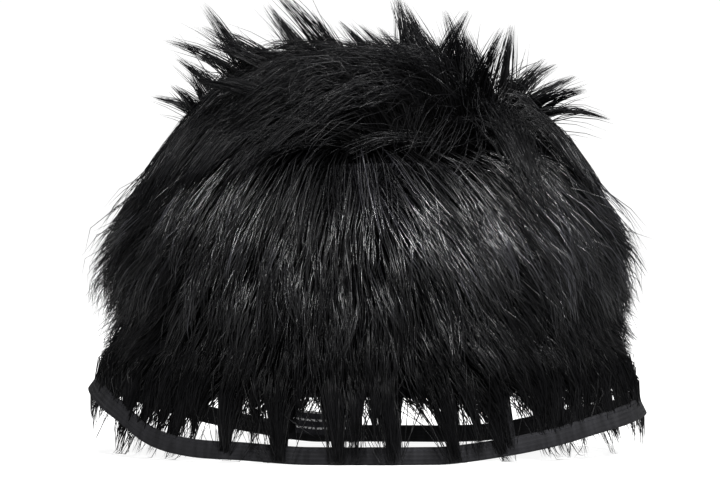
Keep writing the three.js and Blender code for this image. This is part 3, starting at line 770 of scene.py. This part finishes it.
# %% The cloth walls
TONGUE_SHARES = (0, 0.2, 0.6, 1)
TONGUE_HALF_WIDTHS = (4.6, 3.2, 2.5, 2.5)
DEGREES = 57.3  # in a radian


def face_outwards(piece):
    bpy.ops.object.select_all(action="DESELECT")
    piece.select_set(True)
    bpy.context.view_layer.objects.active = piece
    bpy.ops.object.mode_set(mode="EDIT")
    bpy.ops.mesh.select_all(action="SELECT")
    bpy.ops.mesh.normals_make_consistent(inside=False)
    bpy.ops.object.mode_set(mode="OBJECT")


def loft(name, parts):
    """One object from closed sections joined in rows, round the hat or with both ends capped."""
    vertices, faces, uvs, base = [], [], [], 0
    for sections, flat, wrap in parts:
        rows, points = sections.shape[:2]
        vertices.append(sections.reshape(-1, 3))
        for row in range(rows if wrap else rows - 1):
            for point in range(points):
                near, far = base + row * points, base + (row + 1) % rows * points
                after = (point + 1) % points
                faces.append([near + point, far + point, far + after, near + after])
                corners = ((row, point), (row + 1, point), (row + 1, point + 1), (row, point + 1))
                uvs += [flat(i / rows, j / points) for i, j in corners]
        if not wrap:
            faces.append([base + point for point in range(points)])
            faces.append([base + (rows - 1) * points + point for point in reversed(range(points))])
            uvs += [(0.0, 0.0)] * (2 * points)
        base += rows * points
    mesh = bpy.data.meshes.new(name)
    mesh.from_pydata((np.concatenate(vertices) * METRES).tolist(), [], faces)
    mesh.uv_layers.new(name="cloth").data.foreach_set("uv", np.array(uvs, np.float32).ravel())
    mesh.update()
    piece = placed(name, mesh)
    face_outwards(piece)
    bpy.ops.object.shade_smooth_by_angle(angle=math.radians(50))
    print(name, sum(len(face) - 2 for face in faces), "triangles")
    return piece


def turned(profile, steps, size):
    """A profile of radius and height turned round the upright axis, with its UV sizes in cm."""
    turns = np.arange(steps) * 360 / steps
    rows = [around(turns, radius, height) for radius, height in profile]
    return np.stack(rows, axis=1), (lambda a, b: (a * size[0], b * size[1])), True


def wall_profile(rows=10):
    heights = np.linspace(SEAM_HEIGHT + 0.3, TOP_SEAM_HEIGHT, rows)
    outer = [(wall_radius(height), height) for height in heights]
    return outer + [(radius - CLOTH, height) for radius, height in reversed(outer)]


def dome_profile(rows=10):
    reach = np.linspace(CROWN_TOP_RADIUS, 0.3, rows)
    outer = [(radius, dome_height(radius)) for radius in reach]
    return outer + [(radius, height - CLOTH) for radius, height in reversed(outer)]


def brim_parts(steps=120, rows=6):
    turns = np.arange(steps) * 360 / steps
    top, width = window_top(turns), brim_width(turns) - 0.3
    shares = np.linspace(0, 1, rows)
    outer = [brim_point(turns, width + (top - width) * share, CLOTH / 2)[0] for share in shares]
    inner = [brim_point(turns, width + (top - width) * share, -CLOTH / 2)[0] for share in shares[::-1]]
    parts = [(np.stack(outer + inner, axis=1), (lambda a, b: (a * 75, b * 11)), True)]
    for index in range(TONGUES):
        turn = (index + 0.5) * 360 / TONGUES
        distances = np.linspace(float(window_top(turn)) + 1.5, 3.5, 8)
        half_width = np.interp(np.linspace(0, 1, 8), TONGUE_SHARES, TONGUE_HALF_WIDTHS)
        half = half_width / EDGE_HALF_DEPTH * DEGREES
        corners = [(half, 0.9), (half, -0.9), (-half, -0.9), (-half, 0.9)]
        rings = [brim_point(turn + side, distances, offset)[0] for side, offset in corners]
        parts.append((np.stack(rings, axis=1), (lambda a, b: (b, 3 * a)), False))
    return parts


print("rows of the side's wall:", len(wall_profile()), "and of the top's:", len(dome_profile()))


# %% [markdown]
# The tape is a folded binding with rounded edges. It lies on the outside of the tongues, stands on
# the floor at the front and back, and laps over itself at the front. A row of small stitches holds
# its upper edge. One stitch is modelled and then copied round the tape.

# %% The tape, its stitches and the label
TAPE_INSIDE = CLOTH / 2 + 0.3
LAP_ANGLE = 272.0
HALF_LAP = 4.5
STITCHES = 260
STITCH_RADIUS, STITCH_LENGTH = 0.16, 1.7
STITCH_DROP = 1.7  # below the tape's upper edge
LABEL_ANGLE = 102
LABEL_HALF_WIDTH = 17
LABEL_LOW, LABEL_HIGH = 4.5, 17.5
LABEL_GAP = 0.7  # inside the cloth


def tape_section(turn, inner, outer):
    """Rounded sections of the tape at angles, between two offsets from the brim's middle."""
    middle, half = (inner + outer) / 2, (outer - inner) / 2
    level = edge_height(turn)
    low = brim_point(turn, 0.0, middle)[0]
    high = brim_point(turn, TAPE_HEIGHT, middle)[0]
    start = TAPE_HEIGHT * (level - low[:, 2]) / (high[:, 2] - low[:, 2])
    rings = []
    for a in np.radians(np.arange(-90, 270, 22.5) + 11.25):
        end = half if math.sin(a) > 0 else -half
        across = middle + half * math.cos(a)
        centre = TAPE_HEIGHT - half if math.sin(a) > 0 else start + half
        rings.append(brim_point(turn, centre + half * math.sin(a), across)[0])
    return np.stack(rings, axis=1)


def tape_parts():
    turns = np.arange(240) * 1.5
    outside = TAPE_INSIDE + TAPE_THICKNESS
    size = lambda a, b: (a * 82, b * 2.1)
    parts = [(tape_section(turns, TAPE_INSIDE, outside), size, True)]
    half_lap = math.degrees(HALF_LAP / EDGE_HALF_DEPTH)
    laps = LAP_ANGLE + np.linspace(-half_lap, half_lap, 7)
    lap_size = lambda a, b: (a * 0.9, b * 2.1)
    parts.append((tape_section(laps, outside - 0.9, outside + 0.75), lap_size, False))
    return parts


def stitches(name, count):
    bpy.ops.object.select_all(action="DESELECT")
    bpy.ops.mesh.primitive_cylinder_add(
        vertices=6, radius=STITCH_RADIUS, depth=STITCH_LENGTH, rotation=(0, math.pi / 2, 0)
    )
    stitch = bpy.context.object
    bpy.ops.object.transform_apply(location=True, rotation=True, scale=True)
    bpy.ops.object.mode_set(mode="EDIT")
    bpy.ops.mesh.select_all(action="SELECT")
    bpy.ops.mesh.bevel(offset=0.07, segments=1)
    bpy.ops.object.mode_set(mode="OBJECT")
    shape = np.array([vertex.co[:] for vertex in stitch.data.vertices])
    faces = [list(polygon.vertices) for polygon in stitch.data.polygons]
    bpy.data.objects.remove(stitch)
    turns = (np.arange(count) + 0.5) * 360 / count
    places, outward, down = brim_point(turns, TAPE_HEIGHT - STITCH_DROP, TAPE_INSIDE + TAPE_THICKNESS)
    along = unit(np.cross(outward, down))
    points = places[:, None] + shape[None, :, :1] * along[:, None] + shape[None, :, 1:2] * outward[:, None]
    points = points + shape[None, :, 2:] * down[:, None]
    mesh = bpy.data.meshes.new(name)
    joined = [[index + copy * len(shape) for index in face] for copy in range(count) for face in faces]
    mesh.from_pydata((points.reshape(-1, 3) * METRES).tolist(), [], joined)
    mesh.update()
    piece = placed(name, mesh)
    face_outwards(piece)
    print(name, count, "stitches,", sum(len(face) - 2 for face in joined), "triangles")
    return piece


def label_parts():
    """The label, a thin strip that hangs from its ends inside the tongues and sags a little."""
    outside = -CLOTH / 2 - LABEL_GAP
    half = math.degrees(LABEL_HALF_WIDTH / EDGE_HALF_DEPTH)
    turns = LABEL_ANGLE + np.linspace(-half, half, 25)
    sag = 0.12 * (1 - np.linspace(-1, 1, 25) ** 2)
    rings = []
    for height in np.linspace(LABEL_LOW, LABEL_HIGH, 7):
        rings.append(brim_point(turns, height, outside - 0.1 - sag)[0])
    for height in np.linspace(LABEL_HIGH, LABEL_LOW, 7):
        rings.append(brim_point(turns, height, outside - 0.7 - sag)[0])
    return [(np.stack(rings, axis=1), (lambda a, b: (a * 3.4, 2 * b * 1.3)), False)]


print("parts of the tape:", len(tape_parts()), "and of the label:", len(label_parts()))


# %% [markdown]
# The cloths are black and matt. One weave serves all of them: two sets of fine waves that cross,
# with some noise, give its height and its tone. The knitted backing is coarser than the tape, and
# the tape has a short nap that catches light at its rims. The label has three light broken lines.

# %% Finishes of the cloths
def weave_group():
    group = bpy.data.node_groups.new("weave", "ShaderNodeTree")
    scale = group.interface.new_socket("Scale", in_out="INPUT", socket_type="NodeSocketFloat")
    scale.default_value = 10.0
    group.interface.new_socket("Height", in_out="OUTPUT", socket_type="NodeSocketFloat")
    group.interface.new_socket("Tone", in_out="OUTPUT", socket_type="NodeSocketFloat")
    nodes, links = group.nodes, group.links
    entry, leave = nodes.new("NodeGroupInput"), nodes.new("NodeGroupOutput")
    uv = read_map(nodes, "cloth")
    waves = []
    for direction in ("X", "Y"):
        wave = nodes.new("ShaderNodeTexWave")
        wave.bands_direction = direction
        put(wave, {"Distortion": 0.6, "Detail": 1.0})
        links.new(uv, wave.inputs["Vector"])
        links.new(entry.outputs["Scale"], wave.inputs["Scale"])
        waves.append(wave)
    most = nodes.new("ShaderNodeMath")
    most.operation = "MAXIMUM"
    for wave, socket in zip(waves, most.inputs):
        links.new(wave.outputs["Fac"], socket)
    noise = nodes.new("ShaderNodeTexNoise")
    put(noise, {"Scale": 3.0, "Detail": 6.0})
    links.new(uv, noise.inputs["Vector"])
    links.new(most.outputs[0], leave.inputs["Height"])
    tone = nodes.new("ShaderNodeMapRange")
    put(tone, {"From Min": 0.3, "From Max": 0.7, "To Min": 0.6, "To Max": 1.5})
    links.new(noise.outputs["Fac"], tone.inputs["Value"])
    links.new(tone.outputs["Result"], leave.inputs["Tone"])
    return group


WEAVE = weave_group()


def cloth_finish(name, colour, scale, bump, roughness, sheen):
    material, nodes, links, shader = new_material(name)
    weave = nodes.new("ShaderNodeGroup")
    weave.node_tree = WEAVE
    weave.inputs["Scale"].default_value = scale
    tint = nodes.new("ShaderNodeMix")
    tint.data_type = "RGBA"
    put(tint, {"A": (0, 0, 0, 1), "B": (*colour, 1)})
    tint.clamp_factor = False
    links.new(weave.outputs["Tone"], tint.inputs["Factor"])
    links.new(tint.outputs["Result"], shader.inputs["Base Color"])
    relief = nodes.new("ShaderNodeBump")
    put(relief, {"Strength": bump, "Distance": 0.0002})
    links.new(weave.outputs["Height"], relief.inputs["Height"])
    links.new(relief.outputs["Normal"], shader.inputs["Normal"])
    put(shader, {"Roughness": roughness, "Specular IOR Level": 0.03})
    put(shader, {"Sheen Weight": sheen, "Sheen Roughness": 0.4})
    return material, nodes, links, shader, tint


def label_finish():
    cloth = cloth_finish("woven_label", (0.012, 0.012, 0.014), 14, 0.5, 0.6, 0.0)
    material, nodes, links, shader, tint = cloth
    uv = read_map(nodes, "cloth")
    parts = nodes.new("ShaderNodeSeparateXYZ")
    links.new(uv, parts.inputs[0])

    def math_node(operation, first, second):
        node = nodes.new("ShaderNodeMath")
        node.operation = operation
        for value, socket in zip((first, second), node.inputs):
            if isinstance(value, float):
                socket.default_value = value
            else:
                links.new(value, socket)
        return node.outputs[0]

    row = math_node("FRACT", math_node("MULTIPLY", parts.outputs["Y"], 2.6), 0.0)
    line = math_node("LESS_THAN", math_node("ABSOLUTE", math_node("SUBTRACT", row, 0.5), 0.0), 0.12)
    dash = nodes.new("ShaderNodeTexNoise")
    dash.inputs["Scale"].default_value = 9.0
    links.new(uv, dash.inputs["Vector"])
    lit = math_node("MULTIPLY", line, math_node("GREATER_THAN", dash.outputs["Fac"], 0.47))
    mix = nodes.new("ShaderNodeMix")
    mix.data_type = "RGBA"
    mix.inputs["B"].default_value = (0.35, 0.35, 0.35, 1)
    links.new(lit, mix.inputs["Factor"])
    links.new(tint.outputs["Result"], mix.inputs["A"])
    links.new(mix.outputs["Result"], shader.inputs["Base Color"])
    return material


BACKING = cloth_finish("knitted_backing", (0.0035, 0.0035, 0.004), 4.0, 0.8, 0.85, 0.0)[0]
TAPE = cloth_finish("velvet_tape", (0.0042, 0.0042, 0.0047), 9.0, 0.6, 0.7, 0.006)[0]
THREAD = cloth_finish("black_thread", (0.008, 0.008, 0.01), 9.0, 0.3, 0.5, 0.0)[0]
side_wall = turned(wall_profile(), 96, (59, 18))
top_wall = turned(dome_profile(), 96, (52, 17))
dress(loft("crown_side_cloth", [side_wall]), BACKING, "crown_side")
dress(loft("crown_top_cloth", [top_wall]), BACKING, "crown_top")
dress(loft("brim_cloth", brim_parts()), BACKING, "brim")
dress(loft("tape_binding", tape_parts()), TAPE, "edge_tape")
dress(stitches("tape_stitches", STITCHES), THREAD, "edge_tape")
dress(loft("label_cloth", label_parts()), label_finish(), "back_label")

# %% [markdown]
# A plain pale floor that glows white by itself gives the photo's blank ground, where the shadow
# hardly shows. Two small, strong lights high in front and to the right lay pale streaks on the fur,
# and a weak one from above and behind parts the tufts.

# %% Floor and lights
def aimed(name, data, place, target):
    """A light or a camera at a place, turned to look at a target."""
    item = placed(name, data)
    item.location = place
    item.rotation_euler = (Vector(target) - Vector(place)).to_track_quat("-Z", "Y").to_euler()
    return item


def area_light(name, place, target, size, power):
    data = bpy.data.lights.new(name, "AREA")
    data.shape = "DISK"
    data.size = size
    data.energy = power
    aimed(name, data, place, target)


bpy.ops.object.select_all(action="DESELECT")
bpy.ops.mesh.primitive_plane_add(size=12, location=(0, 0, 0))
floor = bpy.context.object
floor.name = "floor"
floor_material, floor_nodes, floor_links, floor_shader = new_material("pale_floor")
put(floor_shader, {"Base Color": (0.2, 0.2, 0.2, 1), "Roughness": 0.9, "Emission Color": (1, 1, 1, 1)})
place = floor_nodes.new("ShaderNodeTexCoord")
distance = floor_nodes.new("ShaderNodeVectorMath")
distance.operation = "LENGTH"
floor_links.new(place.outputs["Object"], distance.inputs[0])
glow = floor_nodes.new("ShaderNodeMapRange")
put(glow, {"From Min": 0.2, "From Max": 0.6, "To Min": 0.94, "To Max": 1.0})
floor_links.new(distance.outputs["Value"], glow.inputs["Value"])
floor_links.new(glow.outputs["Result"], floor_shader.inputs["Emission Strength"])
floor.data.materials.append(floor_material)

area_light("key", (-0.1, -1.7, 1.6), (0, 0, 0.12), 0.45, 218)
area_light("side", (1.2, -1.2, 1.9), (0, 0, 0.12), 0.45, 205)
area_light("top", (0.1, 0.5, 2.1), (0, 0, 0.15), 1.0, 20)

# %% [markdown]
# The surround is white to the camera and gives the hat almost no light, or the black fibre would
# turn grey. The camera looks from the front, a little above the hat's middle, through a long lens.

# %% Surround and camera
world = bpy.data.worlds.new("white_surround")
bpy.context.scene.world = world
world.use_nodes = True
background = world.node_tree.nodes["Background"]
background.inputs["Color"].default_value = (1, 1, 1, 1)
paths_node = world.node_tree.nodes.new("ShaderNodeLightPath")
strength = world.node_tree.nodes.new("ShaderNodeMapRange")
put(strength, {"To Min": 0.05, "To Max": 1.05})
world.node_tree.links.new(paths_node.outputs["Is Camera Ray"], strength.inputs["Value"])
world.node_tree.links.new(strength.outputs["Result"], background.inputs["Strength"])

view = bpy.data.cameras.new("camera")
camera = aimed("camera", view, (-0.004, -3.0, 0.166), (-0.004, 0, 0.112))
camera.data.sensor_width = 36
camera.data.lens = 283
camera.data.clip_end = 50
bpy.context.scene.camera = camera
bpy.context.scene.view_settings.view_transform = "Standard"
print("camera, m:", [round(x, 3) for x in camera.location])
